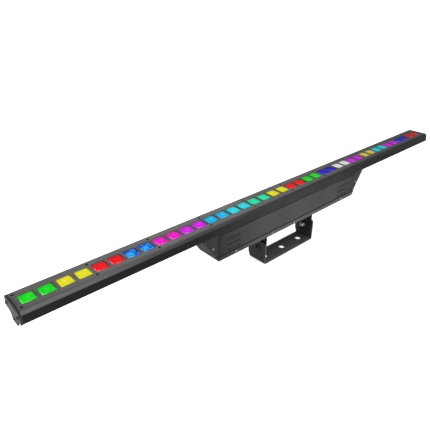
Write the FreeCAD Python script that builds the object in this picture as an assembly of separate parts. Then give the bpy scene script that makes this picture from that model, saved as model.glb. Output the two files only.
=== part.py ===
import FreeCAD, Part
import math
import os

# LED pixel batten on a U floor bracket. Millimetres. X runs along the bar, +Z is up and
# the lit face looks up. The origin is the centre of the bracket's underside.

V = FreeCAD.Vector
X_AXIS, Y_AXIS, Z_AXIS = V(1, 0, 0), V(0, 1, 0), V(0, 0, 1)
ENDS = (-1, 1)

# ---- driving dimensions ----
LENGTH = 1000.0            # over the two end plates
TOP = 130.5                # lit face above the bracket's underside
CELLS = 40
PITCH = 24.6
CELL = 19.7                # window in the bezel
CELL_R = 1.2

BAR_TOP_HALF = 21.0        # half width of the flat top
BAR_EDGE_HALF = 23.6       # half width where the top bevel ends
BAR_BASE_HALF = 24.8       # half width at the underside
BAR_BEVEL = 4.6            # depth of the top bevel
BAR_DEPTH = 17.5
BAR_WALL = 1.8
BAR_FLOOR = 2.0

BEZEL_HALF = 19.2
BEZEL_T = 2.4
LEDGE_T = 2.5
LEDGE_HALF = 12.4          # inner edge of the ledge that carries the bezel
LENS_FLANGE = 22.6
LENS_FLANGE_T = 2.0
LENS_FIT = 0.15            # gap between a lens and its window
LENS_DROP = 0.4            # lens face below the bezel's face
LENS_RIM, LENS_RIM_DROP = 1.1, 0.7  # the sloped rim round a lens face
GRID_HALF = 12.0
GRID_WALL = 1.4
BOARD_HALF = 15.0
BOARD_T = 1.6
RAIL_H = 1.0
SEGMENT = 8                # cells per board and per baffle length
SCREW_Y = 15.0             # bezel screws off the centre line
SCREW_END_X = 492.5
PORT_Y, PORT_DROP = 18.9, 9.6
PORT_R, PORT_BORE_R = 2.9, 1.7      # screw ports that take the end screws
HOUSE_SCREW_BORE_R = 1.7

END_T = 2.0                # end plate sheet
GASKET_T = 1.0
LOBE_HALF = 8.8
LOBE_DROP = 29.5           # bottom of the end plate's middle tongue below the lit face

HOUSE_DROP = 67.8          # underside of the driver housing below the lit face
HOUSE_BASE_HALF = 189.0    # half length at the underside
HOUSE_TOP_HALF = 221.0     # half length under the bar
WALL_Y = 23.6              # outer face of the side walls
WALL_T = 1.6
WALL_SCREW_R = 1.5         # holes for the screws in the walls, covers, lips and sockets
COVER_T = 1.1
COVER_HALF = 188.0
COVER_TOP_DROP, COVER_BASE_DROP = 20.0, 57.6
LIP_H = 8.8
LIP_T = 1.2
FLOOR_T = 1.5

BRACKET_HALF = 70.0
BRACKET_T = 2.0
BRACKET_BEND = 1.6         # inner bend radius
BASE_HALF = 19.5
ARM_REAR = 23.5            # rear edge of the arms, behind the chamfer
ARM_TOP = 44.5
PIVOT_Z = 30.0
HOLE_R = 5.5
HOLE_PITCH = 50.0

BOLT_R = 2.97
BOLT_FIT = 0.02            # radial play of the arms, washers and nuts round a bolt
LUG_BORE_R = 3.0
LUG_HALF = 17.0
LUG_FOOT_X = 42.0          # inner end of an ear's foot
LUG_SCREW_X, LUG_SCREW_Y, LUG_SCREW_BORE_R = 50.0, 11.0, 2.1
LUG_T = 2.4
LUG_GAP = 0.05
FRICTION_T = 1.0
WASHER_T = 1.25
NUT_FLATS, NUT_SKIRT = 10.0, 4.4
HEAD_R, HEAD_H = 5.3, 3.3  # bolt head
FRICTION_R, INNER_R, OUTER_R = 10.0, 6.4, 7.0  # washers

PANEL_Z = TOP - 39.0       # centre line of the rear controls and sockets
BUTTON_X = (58.0, 72.0, 86.0, 100.0)
BUTTON_R = 3.5
DISPLAY = (8.0, 46.0, 16.0)        # first x, last x, height
POWER_X = (-166.0, -128.0)         # inlet, outlet
DATA_X = (166.0, 128.0)            # inlet, outlet
SOCKET_R = 10.6
SOCKET_SCREW_X, SOCKET_SCREW_Z = 10.0, 12.0
FLANGE_W, FLANGE_H, FLANGE_T = 27.0, 31.0, 2.4

# ---- derived heights ----
BAR_BASE = TOP - BAR_DEPTH
HOUSE_BASE = TOP - HOUSE_DROP
LENS_TOP = TOP - LENS_DROP
FLANGE_BASE = TOP - BEZEL_T - LENS_FLANGE_T
BOARD_BASE = BAR_BASE + BAR_FLOOR + RAIL_H
BOARD_TOP = BOARD_BASE + BOARD_T
PROFILE_END = LENGTH / 2 - END_T - GASKET_T
BEZEL_END = PROFILE_END - 0.3
WALL_IN = WALL_Y - WALL_T
COVER_Y = WALL_Y + COVER_T
LUG_OUT = BRACKET_HALF - BRACKET_T - FRICTION_T - LUG_GAP
LUG_IN = LUG_OUT - LUG_T
NUT_OUT = LUG_IN - LUG_GAP - WASHER_T

CELL_COLOURS = ("green", "yellow", "red", "azure", "pink", "magenta", "sky", "cyan", "teal",
                "yellow", "red", "green", "blue", "white", "magenta", "amber", "cyan",
                "magenta", "blue", "red")


# ---- helpers ----
def block(x0, x1, y0, y1, z0, z1):
    return Part.makeBox(x1 - x0, y1 - y0, z1 - z0, V(x0, y0, z0))


def rod(radius, start, direction, length):
    return Part.makeCylinder(radius, length, start, direction)


def prism(points, direction):
    """A polygon swept along a vector."""
    wire = Part.makePolygon([V(*p) for p in points] + [V(*points[0])])
    return Part.Face(wire).extrude(direction)


def prism_x(points, x0, x1):
    return prism([(x0, y, z) for y, z in points], V(x1 - x0, 0, 0))


def prism_y(points, y0, y1):
    return prism([(x, y0, z) for x, z in points], V(0, y1 - y0, 0))


def rounded_wire(cx, cy, w, h, r, z):
    """A closed rounded rectangle in a level plane."""
    a, b = w / 2 - r, h / 2 - r
    edges = []
    for sx, sy, start in ((1, 1, 0), (-1, 1, 90), (-1, -1, 180), (1, -1, 270)):
        edges.append(Part.makeCircle(r, V(cx + sx * a, cy + sy * b, z), Z_AXIS, start, start + 90))
    ends = [(e.Vertexes[0].Point, e.Vertexes[1].Point) for e in edges]
    loop = []
    for i, edge in enumerate(edges):
        loop.append(edge)
        loop.append(Part.makeLine(ends[i][1], ends[(i + 1) % 4][0]))
    return Part.Wire(loop)


def pad(cx, cy, w, h, r, z0, z1):
    return Part.Face(rounded_wire(cx, cy, w, h, r, z0)).extrude(V(0, 0, z1 - z0))


def perforated(outer, holes, z0, z1):
    """A level plate with holes, all given as wires at z0."""
    face = Part.makeFace([outer] + holes, "Part::FaceMakerBullseye")
    return face.extrude(V(0, 0, z1 - z0))


def hexagon_x(flats, x, z, length):
    """A hexagonal bar along X, centred on y = 0."""
    r = flats / math.sqrt(3)
    angles = [math.radians(60 * i) for i in range(6)]
    return prism_x([(r * math.cos(a), z + r * math.sin(a)) for a in angles], x, x + length)


def mirror_x(shape):
    return shape.mirror(V(0, 0, 0), X_AXIS)


def mirror_y(shape):
    return shape.mirror(V(0, 0, 0), Y_AXIS)


def moved(shape, x=0.0, y=0.0, z=0.0):
    out = shape.copy()
    out.translate(V(x, y, z))
    return out


def group(shapes):
    return Part.makeCompound(list(shapes))


def countersunk(head_r, shank_r, head_h, length, drive):
    """A screw along -Z from the origin, with a cross recess."""
    head = Part.makeCone(head_r, shank_r, head_h, V(0, 0, 0), V(0, 0, -1))
    screw = head.fuse(rod(shank_r, V(0, 0, 0), V(0, 0, -1), length))
    w = drive / 4
    cross = block(-drive, drive, -w, w, -head_h * 0.45, 1)
    return screw.cut(cross.fuse(block(-w, w, -drive, drive, -head_h * 0.45, 1)))


def pan_screw(head_r, head_h, shank_r, length, drive):
    """A domed screw whose head stands on z = 0 and whose shank runs to -Z."""
    ball_r = (head_r ** 2 + head_h ** 2) / (2 * head_h)
    head = Part.makeSphere(ball_r, V(0, 0, head_h - ball_r))
    head = head.common(block(-head_r, head_r, -head_r, head_r, 0, head_h))
    screw = head.fuse(rod(shank_r, V(0, 0, 0), V(0, 0, -1), length))
    w = drive / 4
    cross = block(-drive, drive, -w, w, head_h * 0.45, head_h + 1)
    return screw.cut(cross.fuse(block(-w, w, -drive, drive, head_h * 0.45, head_h + 1)))


def edges_along_x(shape, places, at_least=100.0):
    """The long edges of a section at the given (y, z) places, on both sides of the centre line."""
    found = []
    for e in shape.Edges:
        b = e.BoundBox
        if b.XLength > at_least and b.YLength < 0.01 and b.ZLength < 0.01:
            if any(abs(abs(b.YMin) - y) < 0.02 and abs(b.ZMin - z) < 0.02 for y, z in places):
                found.append(e)
    return found


def facing(shape, side):
    """Turns a screw that points up so that it points out of the front or rear wall."""
    out = shape.copy()
    out.rotate(V(0, 0, 0), X_AXIS, -90 * side)
    return out


def cell_x(i):
    return (i - (CELLS - 1) / 2) * PITCH


def incline_x(z):
    """Half length of the housing's outside at a height."""
    share = (z - HOUSE_BASE) / (BAR_BASE - HOUSE_BASE)
    return HOUSE_BASE_HALF + share * (HOUSE_TOP_HALF - HOUSE_BASE_HALF)


def bezel_screw_places():
    xs = [4 * k * PITCH for k in range(-4, 5)] + [-SCREW_END_X, SCREW_END_X]
    return [(x, s * SCREW_Y) for x in xs for s in ENDS]


LIP_SCREWS = [(x, s) for x in (-150.0, -58.6, 0.0, 58.6, 150.0) for s in ENDS]
LIP_SCREW_Z = TOP - 63.2
SIDE_SCREWS = [(sx * x, TOP - drop, s) for sx in ENDS for x, drop in ((200.2, 39.8), (215.5, 22.5))
               for s in ENDS]
COVER_SCREWS = [(sx * 184.0, TOP - drop, s) for sx in ENDS for drop in (25.0, 53.0) for s in ENDS]
VENT_L, VENT_H = 29.0, 3.2
VENTS = [(x, TOP - drop) for x in (-156.0, 148.0) for drop in (32.6, 43.1, 53.2)]
SCREEN_HOLE_R, SCREEN_PITCH = 1.0, 4.0
SOCKETS = list(POWER_X) + list(DATA_X)
HOUSE_SCREWS = [(x, s * 17.0) for x in (-205, -110, 110, 205) for s in ENDS]


# ---- the bar ----
def bar_profile():
    """An open-topped extrusion with a ledge for the bezel, rails for the boards and screw ports."""
    base, inner = BAR_BASE, BAR_BASE + BAR_FLOOR
    slope = (BAR_BASE_HALF - BAR_EDGE_HALF) / (BAR_DEPTH - BAR_BEVEL)
    ledge_top, ledge_base = TOP - BEZEL_T, TOP - BEZEL_T - LEDGE_T
    wall_top = BAR_EDGE_HALF - BAR_WALL + slope * (TOP - BAR_BEVEL - ledge_base)
    half = [(0, base), (BAR_BASE_HALF, base), (BAR_EDGE_HALF, TOP - BAR_BEVEL), (BAR_TOP_HALF, TOP),
            (BEZEL_HALF + 0.5, TOP), (BEZEL_HALF + 0.5, ledge_top), (LEDGE_HALF, ledge_top),
            (LEDGE_HALF, ledge_base), (wall_top, ledge_base), (BAR_BASE_HALF - BAR_WALL, inner),
            (12.0, inner), (12.0, inner + RAIL_H), (8.0, inner + RAIL_H), (8.0, inner), (0, inner)]
    body = prism_x(half, -PROFILE_END, PROFILE_END)
    port_z = TOP - PORT_DROP
    body = body.fuse(rod(PORT_R, V(-PROFILE_END, PORT_Y, port_z), X_AXIS, 2 * PROFILE_END))
    body = body.fuse(block(-PROFILE_END, PROFILE_END, PORT_Y, PORT_Y + 3.4, port_z - 0.9, port_z + 0.9))
    body = body.cut(rod(PORT_BORE_R, V(-PROFILE_END, PORT_Y, port_z), X_AXIS, 2 * PROFILE_END))
    body = body.fuse(mirror_y(body)).removeSplitter()
    body = body.makeFillet(0.4, edges_along_x(body, [(BAR_TOP_HALF, TOP)]))
    body = body.makeFillet(1.2, edges_along_x(body, [(BAR_EDGE_HALF, TOP - BAR_BEVEL)]))
    body = body.makeFillet(0.6, edges_along_x(body, [(BAR_BASE_HALF, base)]))
    for x, y in bezel_screw_places():
        body = body.cut(rod(1.3, V(x, y, TOP), V(0, 0, -1), 8))
    for x, y in HOUSE_SCREWS:
        body = body.cut(rod(HOUSE_SCREW_BORE_R, V(x, y, BAR_BASE - 1), Z_AXIS, BAR_FLOOR + 2))
    return body.cut(pad(20, 0, 24, 9, 4.4, BAR_BASE - 1, BAR_BASE + 5))


def bezel():
    base = TOP - BEZEL_T
    outer = rounded_wire(0, 0, 2 * BEZEL_END, 2 * BEZEL_HALF, 0.8, base)
    windows = [rounded_wire(cell_x(i), 0, CELL, CELL, CELL_R, base) for i in range(CELLS)]
    plate = perforated(outer, windows, base, TOP)
    rims = [e for e in plate.Edges if e.BoundBox.ZMin > TOP - 0.01
            and abs(e.BoundBox.YMax) < CELL / 2 + 0.1]
    plate = plate.makeChamfer(0.35, rims)
    for x, y in bezel_screw_places():
        plate = plate.cut(Part.makeCone(2.25, 1.25, 1.0, V(x, y, TOP), V(0, 0, -1)))
        plate = plate.cut(rod(1.35, V(x, y, TOP), V(0, 0, -1), 3))
    return plate


def lens():
    """A window tile at the origin: a flange under the bezel, a face with sloped rims and a dished top."""
    rim_base = LENS_TOP - LENS_RIM_DROP
    size, corner = CELL - 2 * LENS_FIT, CELL_R - LENS_FIT
    face = size - 2 * LENS_RIM
    tile = pad(0, 0, LENS_FLANGE, LENS_FLANGE, 1.5, FLANGE_BASE, TOP - BEZEL_T)
    tile = tile.fuse(pad(0, 0, size, size, corner, TOP - BEZEL_T - 0.2, rim_base))
    low = rounded_wire(0, 0, size, size, corner, rim_base)
    top = rounded_wire(0, 0, face, face, corner - 0.4, LENS_TOP)
    tile = tile.fuse(Part.makeLoft([low, top], True, True))
    dish_low = rounded_wire(0, 0, 11.0, 11.0, 1.2, LENS_TOP - 0.5)
    dish_top = rounded_wire(0, 0, 14.0, 14.0, 1.3, LENS_TOP + 0.1)
    return tile.cut(Part.makeLoft([dish_low, dish_top], True, True)).removeSplitter()


def lenses(colour, tile):
    return group(moved(tile, x=cell_x(i)) for i in range(CELLS) if CELL_COLOURS[i // 2] == colour)


def cell_grid():
    """The baffle that keeps each pixel's light to itself, in lengths of eight pockets."""
    segments = []
    for s in range(CELLS // SEGMENT):
        x0 = cell_x(s * SEGMENT) - PITCH / 2 + 0.1
        x1 = x0 + SEGMENT * PITCH - 0.2
        outer = Part.makePolygon([V(x0, -GRID_HALF, BOARD_TOP), V(x1, -GRID_HALF, BOARD_TOP),
                                  V(x1, GRID_HALF, BOARD_TOP), V(x0, GRID_HALF, BOARD_TOP),
                                  V(x0, -GRID_HALF, BOARD_TOP)])
        pockets = [rounded_wire(cell_x(s * SEGMENT + i), 0, PITCH - 2 * GRID_WALL,
                                2 * GRID_HALF - 2 * GRID_WALL, 1.5, BOARD_TOP) for i in range(SEGMENT)]
        segments.append(perforated(outer, pockets, BOARD_TOP, FLANGE_BASE))
    return group(segments)


def led_boards():
    boards = []
    for s in range(CELLS // SEGMENT):
        x0 = cell_x(s * SEGMENT) - PITCH / 2 + 0.3
        boards.append(block(x0, x0 + SEGMENT * PITCH - 0.6, -BOARD_HALF, BOARD_HALF, BOARD_BASE, BOARD_TOP))
    return group(boards)


def led_emitters():
    """One square package with a low clear dome in each pocket."""
    chip = pad(0, 0, 5.4, 5.4, 0.5, BOARD_TOP, BOARD_TOP + 0.9)
    dome = Part.makeSphere(2.6, V(0, 0, BOARD_TOP - 0.2))
    chip = chip.fuse(dome.common(block(-3, 3, -3, 3, BOARD_TOP + 0.4, BOARD_TOP + 3)))
    return group(moved(chip, x=cell_x(i)) for i in range(CELLS))


def board_links():
    """Plug bridges over the joints between neighbouring boards."""
    links = []
    for s in range(1, CELLS // SEGMENT):
        x = cell_x(s * SEGMENT) - PITCH / 2
        link = block(x - 4.5, x + 4.5, -14.8, -12.2, BOARD_TOP, BOARD_TOP + 4.0)
        links.append(link.cut(block(x - 2.5, x + 2.5, -13.6, -12.2, BOARD_TOP + 1.0, BOARD_TOP + 4.0)))
    return group(links)


def bezel_screws():
    screw = countersunk(2.2, 1.2, 0.95, 4.0, 1.8)
    return group(moved(screw, x, y, TOP - 0.02) for x, y in bezel_screw_places())


def end_outline(grow):
    """Half outline of an end plate, rear side, from the top centre down to the tongue."""
    return [(0, TOP), (BAR_TOP_HALF + grow, TOP), (BAR_EDGE_HALF + grow, TOP - BAR_BEVEL),
            (BAR_BASE_HALF + grow, BAR_BASE), (17.0, BAR_BASE), (LOBE_HALF + 1.2, BAR_BASE - 2.6),
            (LOBE_HALF, TOP - LOBE_DROP), (0, TOP - LOBE_DROP)]


def end_plate(side):
    """A sheet end plate whose middle tongue hangs below the bar and carries a linking hole."""
    x0 = side * (LENGTH / 2 - END_T)
    plate = prism_x(end_outline(0.35), x0, side * LENGTH / 2)
    plate = plate.fuse(mirror_y(plate)).removeSplitter()
    corners = [e for e in plate.Edges if e.BoundBox.XLength > END_T - 0.1
               and e.BoundBox.ZMax < TOP - LOBE_DROP + 0.1 and e.BoundBox.YLength < 0.1
               and abs(e.BoundBox.YMin) > 1]
    plate = plate.makeFillet(2.5, corners)
    x_out = side * LENGTH / 2
    plate = plate.cut(rod(3.25, V(x_out, 0, TOP - 23.6), V(-side, 0, 0), END_T))
    for s in ENDS:
        place = V(x_out, s * PORT_Y, TOP - PORT_DROP)
        plate = plate.cut(rod(PORT_BORE_R, place, V(-side, 0, 0), END_T))
    return plate


def end_gaskets():
    """A soft seal between each end plate and the cut end of the bar."""
    seals = []
    half = [(0, TOP - 0.4), (BAR_TOP_HALF, TOP - 0.4), (BAR_EDGE_HALF, TOP - BAR_BEVEL),
            (BAR_BASE_HALF - 0.3, BAR_BASE), (0, BAR_BASE)]
    for side in ENDS:
        seal = prism_x(half, side * PROFILE_END, side * (PROFILE_END + GASKET_T))
        seal = seal.fuse(mirror_y(seal)).removeSplitter()
        for s in ENDS:
            place = V(side * (PROFILE_END - 1), s * PORT_Y, TOP - PORT_DROP)
            seal = seal.cut(rod(PORT_BORE_R, place, V(side, 0, 0), 4))
        seals.append(seal)
    return group(seals)


def end_screws():
    screws = []
    screw = pan_screw(2.9, 1.7, 1.6, 12.0, 2.4)
    screw.rotate(V(0, 0, 0), Y_AXIS, 90)
    for side in ENDS:
        shape = screw if side > 0 else mirror_x(screw)
        for s in ENDS:
            screws.append(moved(shape, side * LENGTH / 2, s * PORT_Y, TOP - PORT_DROP))
    return group(screws)


# ---- the driver housing ----
def panel_openings(outer_y):
    """Everything that passes through the rear wall and its cover, as one tool."""
    tools = [rod(BUTTON_R + 0.12, V(x, 10, PANEL_Z), Y_AXIS, 20) for x in BUTTON_X]
    x0, x1, h = DISPLAY
    tools.append(block(x0, x1, 10, outer_y + 1, PANEL_Z - h / 2, PANEL_Z + h / 2))
    tools += [rod(SOCKET_R + 0.15, V(x, 10, PANEL_Z), Y_AXIS, 20) for x in SOCKETS]
    for x in SOCKETS:
        for s in ENDS:
            place = V(x + s * SOCKET_SCREW_X, 10, PANEL_Z + s * SOCKET_SCREW_Z)
            tools.append(rod(WALL_SCREW_R, place, Y_AXIS, 20))
    return group(tools)


def vent_slots(y0, y1):
    """The open slots in the front cover."""
    slots = []
    for x, z in VENTS:
        slot = block(x - VENT_L / 2, x + VENT_L / 2, y0, y1, z - VENT_H / 2, z + VENT_H / 2)
        ends = [e for e in slot.Edges if e.BoundBox.YLength > 0.5]
        slots.append(slot.makeFillet(1.5, ends))
    return group(slots)


def vent_screen():
    """Rows of small holes in the front wall, one row behind each slot of the cover."""
    count = int(VENT_L / SCREEN_PITCH)
    xs = [(i - (count - 1) / 2) * SCREEN_PITCH for i in range(count)]
    return group(rod(SCREEN_HOLE_R, V(x + dx, -WALL_Y - 1, z), Y_AXIS, WALL_T + 2)
                 for x, z in VENTS for dx in xs)


def side_wall(side):
    """A folded side wall: a trapezoid with an inward flange under the bar."""
    z0, z1 = HOUSE_BASE + FLOOR_T, BAR_BASE
    outline = [(-incline_x(z0), z0), (incline_x(z0), z0), (incline_x(z1), z1), (-incline_x(z1), z1)]
    wall = prism_y(outline, side * WALL_Y, side * WALL_IN)
    flange = block(-HOUSE_TOP_HALF + 9, HOUSE_TOP_HALF - 9, 12.0, WALL_IN + 0.4, z1 - WALL_T, z1)
    wall = wall.fuse(flange if side > 0 else mirror_y(flange))
    for x, s in LIP_SCREWS:
        if s == side:
            wall = wall.cut(rod(WALL_SCREW_R, V(x, side * (WALL_Y + 1), LIP_SCREW_Z), V(0, -side, 0), 4))
    for x, z, s in SIDE_SCREWS + COVER_SCREWS:
        if s == side:
            wall = wall.cut(rod(WALL_SCREW_R, V(x, side * (WALL_Y + 1), z), V(0, -side, 0), 4))
    for x, y in HOUSE_SCREWS:
        if y * side > 0:
            wall = wall.cut(rod(HOUSE_SCREW_BORE_R, V(x, y, z1 - 3), Z_AXIS, 6))
    tool = panel_openings(COVER_Y) if side > 0 else vent_screen()
    return wall.cut(tool)


def side_cover(side):
    """The plate screwed over a side wall; it stops short of the bar and of the lip."""
    outline = [(-COVER_HALF, TOP - COVER_BASE_DROP), (COVER_HALF, TOP - COVER_BASE_DROP),
               (COVER_HALF, TOP - COVER_TOP_DROP), (-COVER_HALF, TOP - COVER_TOP_DROP)]
    plate = prism_y(outline, side * WALL_Y, side * COVER_Y)
    corners = [e for e in plate.Edges if e.BoundBox.YLength > COVER_T - 0.05]
    plate = plate.makeFillet(2.0, corners)
    rim = [e for e in plate.Edges if abs(e.BoundBox.YMin - side * COVER_Y) < 0.01
           and e.BoundBox.YLength < 0.01]
    plate = plate.makeChamfer(0.3, rim)
    for x, z, s in COVER_SCREWS:
        if s == side:
            plate = plate.cut(rod(WALL_SCREW_R, V(x, side * (COVER_Y + 1), z), V(0, -side, 0), 4))
    tool = panel_openings(COVER_Y) if side > 0 else vent_slots(-COVER_Y - 1, -WALL_Y + 1)
    return plate.cut(tool)


def housing_end(side):
    """A sloping end plate with flanges that the side screws pull against."""
    z0, z1 = HOUSE_BASE + FLOOR_T, BAR_BASE
    run, rise = HOUSE_TOP_HALF - HOUSE_BASE_HALF, BAR_BASE - HOUSE_BASE
    t = WALL_T * math.hypot(run, rise) / rise
    a, b = incline_x(z0), incline_x(z1)
    sheet = prism_y([(a, z0), (b, z1), (b - t, z1), (a - t, z0)], -WALL_IN, WALL_IN)
    flange = prism_y([(a - 0.1, z0 + 3), (b - 0.1, z1 - 2), (b - 11, z1 - 2), (a - 11, z0 + 3)],
                     WALL_IN - WALL_T, WALL_IN)
    plate = sheet.fuse(flange).fuse(mirror_y(flange)).removeSplitter()
    for x, z, s in SIDE_SCREWS:
        if x > 0:
            plate = plate.cut(rod(WALL_SCREW_R, V(x, s * (WALL_Y + 1), z), V(0, -s, 0), 6))
    for y in (-17.0, 17.0):
        plate = plate.cut(rod(4.0, V(205, y, z1 - 8), Z_AXIS, 9))
    return plate if side > 0 else mirror_x(plate)


def bottom_cover():
    """A tray under the housing; its lips lap the side walls."""
    z0, z1 = HOUSE_BASE, HOUSE_BASE + FLOOR_T
    a, b = incline_x(z0), incline_x(z1)
    tray = prism_y([(-a, z0), (a, z0), (b, z1), (-b, z1)], -WALL_Y - LIP_T, WALL_Y + LIP_T)
    c = incline_x(HOUSE_BASE + LIP_H)
    lip = prism_y([(-b, z1 - 0.1), (b, z1 - 0.1), (c, z0 + LIP_H), (-c, z0 + LIP_H)],
                  WALL_Y, WALL_Y + LIP_T)
    tray = tray.fuse(lip).fuse(mirror_y(lip)).removeSplitter()
    tray = tray.makeFillet(0.9, edges_along_x(tray, [(WALL_Y + LIP_T, z0)]))
    tray = tray.makeFillet(0.3, edges_along_x(tray, [(WALL_Y + LIP_T, z0 + LIP_H)]))
    for x, s in LIP_SCREWS:
        tray = tray.cut(rod(WALL_SCREW_R, V(x, s * (WALL_Y + 3), LIP_SCREW_Z), V(0, -s, 0), 3))
    for x, y in lug_screw_places():
        tray = tray.cut(rod(LUG_SCREW_BORE_R, V(x, y, z0 - 1), Z_AXIS, 4))
    return tray


def wall_screws(places, face_y):
    screw = pan_screw(2.2, 1.1, 1.4, 5.0, 1.7)
    return [moved(facing(screw, s), x, s * face_y, z) for x, z, s in places]


def housing_screws():
    """Screws from inside the housing up into the bar."""
    screw = pan_screw(3.0, 1.8, 1.6, 3.4, 2.4)
    screw.rotate(V(0, 0, 0), X_AXIS, 180)
    return group(moved(screw, x, y, BAR_BASE - WALL_T) for x, y in HOUSE_SCREWS)


def power_supply():
    """A caged supply: a tray, a vented hood and a terminal block."""
    x0, x1, y0, y1 = -108.0, -8.0, -19.0, 19.0
    z0, z1 = HOUSE_BASE + FLOOR_T, HOUSE_BASE + FLOOR_T + 34
    case = block(x0, x1, y0, y1, z0, z1)
    for i in range(7):
        for j in range(3):
            case = case.cut(rod(2.0, V(x0 + 20 + 10 * i, -10 + 10 * j, z1 - 1.2), Z_AXIS, 3))
    return case.fuse(block(x1, x1 + 9, y0 + 6, y1 - 6, z0, z0 + 14)).removeSplitter()


def driver_board():
    """The pixel driver: a board on four posts with capacitors, drivers and plugs."""
    x0, x1, y0, y1, z = 12.0, 112.0, -19.0, 12.0, HOUSE_BASE + FLOOR_T + 5
    board = block(x0, x1, y0, y1, z, z + 1.6)
    for x in (x0 + 5, x1 - 5):
        for y in (y0 + 5, y1 - 5):
            board = board.fuse(rod(2.5, V(x, y, HOUSE_BASE + FLOOR_T), Z_AXIS, 5.5))
    for i in range(3):
        board = board.fuse(rod(4.0, V(x0 + 18 + 11 * i, -11, z + 1.5), Z_AXIS, 12))
    for i in range(4):
        board = board.fuse(block(x0 + 14 + 18 * i, x0 + 26 + 18 * i, -3, 5, z + 1.5, z + 4.5))
    return board.fuse(block(x1 - 30, x1 - 12, -17, -9, z + 1.5, z + 8)).removeSplitter()


def control_board():
    """The upright board behind the rear wall, with one switch under each button."""
    board = block(4.0, 108.0, 13.4, 15.0, PANEL_Z - 14, PANEL_Z + 12)
    for x in BUTTON_X:
        board = board.fuse(block(x - 3, x + 3, 14.9, 17.6, PANEL_Z - 3, PANEL_Z + 3))
        board = board.fuse(rod(1.6, V(x, 17.5, PANEL_Z), Y_AXIS, 0.6))
    return board.fuse(block(20, 44, 10.0, 13.5, PANEL_Z - 12, PANEL_Z - 5)).removeSplitter()


def display_module():
    x0, x1, h = DISPLAY
    return block(x0 + 1, x1 - 1, 15.0, 22.6, PANEL_Z - h / 2 + 1, PANEL_Z + h / 2 - 1)


def display_window():
    x0, x1, h = DISPLAY
    g = 0.1
    pane = block(x0 + g, x1 - g, 22.6, COVER_Y - 0.2, PANEL_Z - h / 2 + g, PANEL_Z + h / 2 - g)
    edges = [e for e in pane.Edges if e.BoundBox.YLength > 1]
    return pane.makeFillet(0.8, edges)


def button(x):
    """A round key with a collar that the wall keeps captive."""
    key = rod(BUTTON_R, V(x, WALL_IN - 1.4, PANEL_Z), Y_AXIS, COVER_Y + 1.9 - WALL_IN + 1.4)
    outer = [e for e in key.Edges if e.BoundBox.YMin > COVER_Y + 1]
    key = key.makeFillet(0.6, outer)
    collar = rod(BUTTON_R + 1.1, V(x, WALL_IN - 2.3, PANEL_Z), Y_AXIS, 1.2)
    stem = rod(1.5, V(x, 19.15, PANEL_Z), Y_AXIS, 2.0)
    key = key.fuse(collar).fuse(stem).removeSplitter()
    dish = Part.makeSphere(9.0, V(x, COVER_Y + 1.9 + 8.6, PANEL_Z))
    return key.cut(dish)


def socket_shell(x, depth):
    """A flanged round panel socket body with its two fixing holes."""
    flange = block(x - FLANGE_W / 2, x + FLANGE_W / 2, COVER_Y, COVER_Y + FLANGE_T,
                   PANEL_Z - FLANGE_H / 2, PANEL_Z + FLANGE_H / 2)
    corners = [e for e in flange.Edges if e.BoundBox.YLength > 1]
    flange = flange.makeFillet(3.0, corners)
    shell = flange.fuse(rod(SOCKET_R, V(x, COVER_Y - depth, PANEL_Z), Y_AXIS, depth + FLANGE_T))
    for s in ENDS:
        place = V(x + s * SOCKET_SCREW_X, COVER_Y - 1, PANEL_Z + s * SOCKET_SCREW_Z)
        shell = shell.cut(rod(WALL_SCREW_R, place, Y_AXIS, 6))
    return shell


def power_socket(x, keys):
    """A twist-lock mains socket: a round well around a keyed centre boss."""
    face = COVER_Y + FLANGE_T
    shell = socket_shell(x, 17.0)
    well = rod(9.0, V(x, face - 13.0, PANEL_Z), Y_AXIS, 14.0)
    boss = rod(5.9, V(x, face - 13.5, PANEL_Z), Y_AXIS, 12.9)
    for a in keys:
        slot = block(-1.2, 1.2, -20, 20, 2.0, 4.6)
        slot.rotate(V(0, 0, 0), Y_AXIS, a)
        boss = boss.cut(moved(slot, x, face - 0.6 + 12, PANEL_Z))
    for a in (0, 120, 240):
        key = block(-1.5, 1.5, -10.0, 0.0, 8.2, 9.3)
        key.rotate(V(0, 0, 0), Y_AXIS, a + keys[0] / 2)
        well = well.cut(moved(key, x, face - 2.5, PANEL_Z))
    return shell.cut(well).fuse(boss).removeSplitter()


def data_inlet(x):
    """A three-pin socket for a cable's female plug."""
    face = COVER_Y + FLANGE_T
    shell = socket_shell(x, 15.0)
    well = rod(7.6, V(x, face - 12.0, PANEL_Z), Y_AXIS, 13.0)
    return shell.cut(well.cut(block(x - 1.3, x + 1.3, face - 12, face - 1.5, PANEL_Z - 8, PANEL_Z - 6.9)))


def data_outlet(x):
    """A three-hole socket with a release tab for a cable's male plug."""
    face = COVER_Y + FLANGE_T
    shell = socket_shell(x, 15.0)
    groove = rod(9.5, V(x, face - 10.0, PANEL_Z), Y_AXIS, 11.0)
    groove = groove.cut(rod(7.9, V(x, face - 11.0, PANEL_Z), Y_AXIS, 13.0))
    shell = shell.cut(groove)
    for a in (90, 210, 330):
        u, w = 4.4 * math.cos(math.radians(a)), 4.4 * math.sin(math.radians(a))
        shell = shell.cut(rod(1.3, V(x + u, face - 9, PANEL_Z - w), Y_AXIS, 10))
    return shell.cut(block(x - 2.5, x + 2.5, face - 0.8, face + 1, PANEL_Z + 10.5, PANEL_Z + 15.0))


def data_pins():
    """Three round pins in the data inlet."""
    face, x = COVER_Y + FLANGE_T, DATA_X[0]
    pins = []
    for a in (90, 210, 330):
        u, w = 4.6 * math.cos(math.radians(a)), 4.6 * math.sin(math.radians(a))
        pin = rod(1.15, V(x + u, face - 12.0, PANEL_Z + w), Y_AXIS, 9.6)
        tip = [e for e in pin.Edges if e.BoundBox.YMin > face - 3]
        pins.append(pin.makeFillet(0.7, tip))
    return group(pins)


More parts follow.
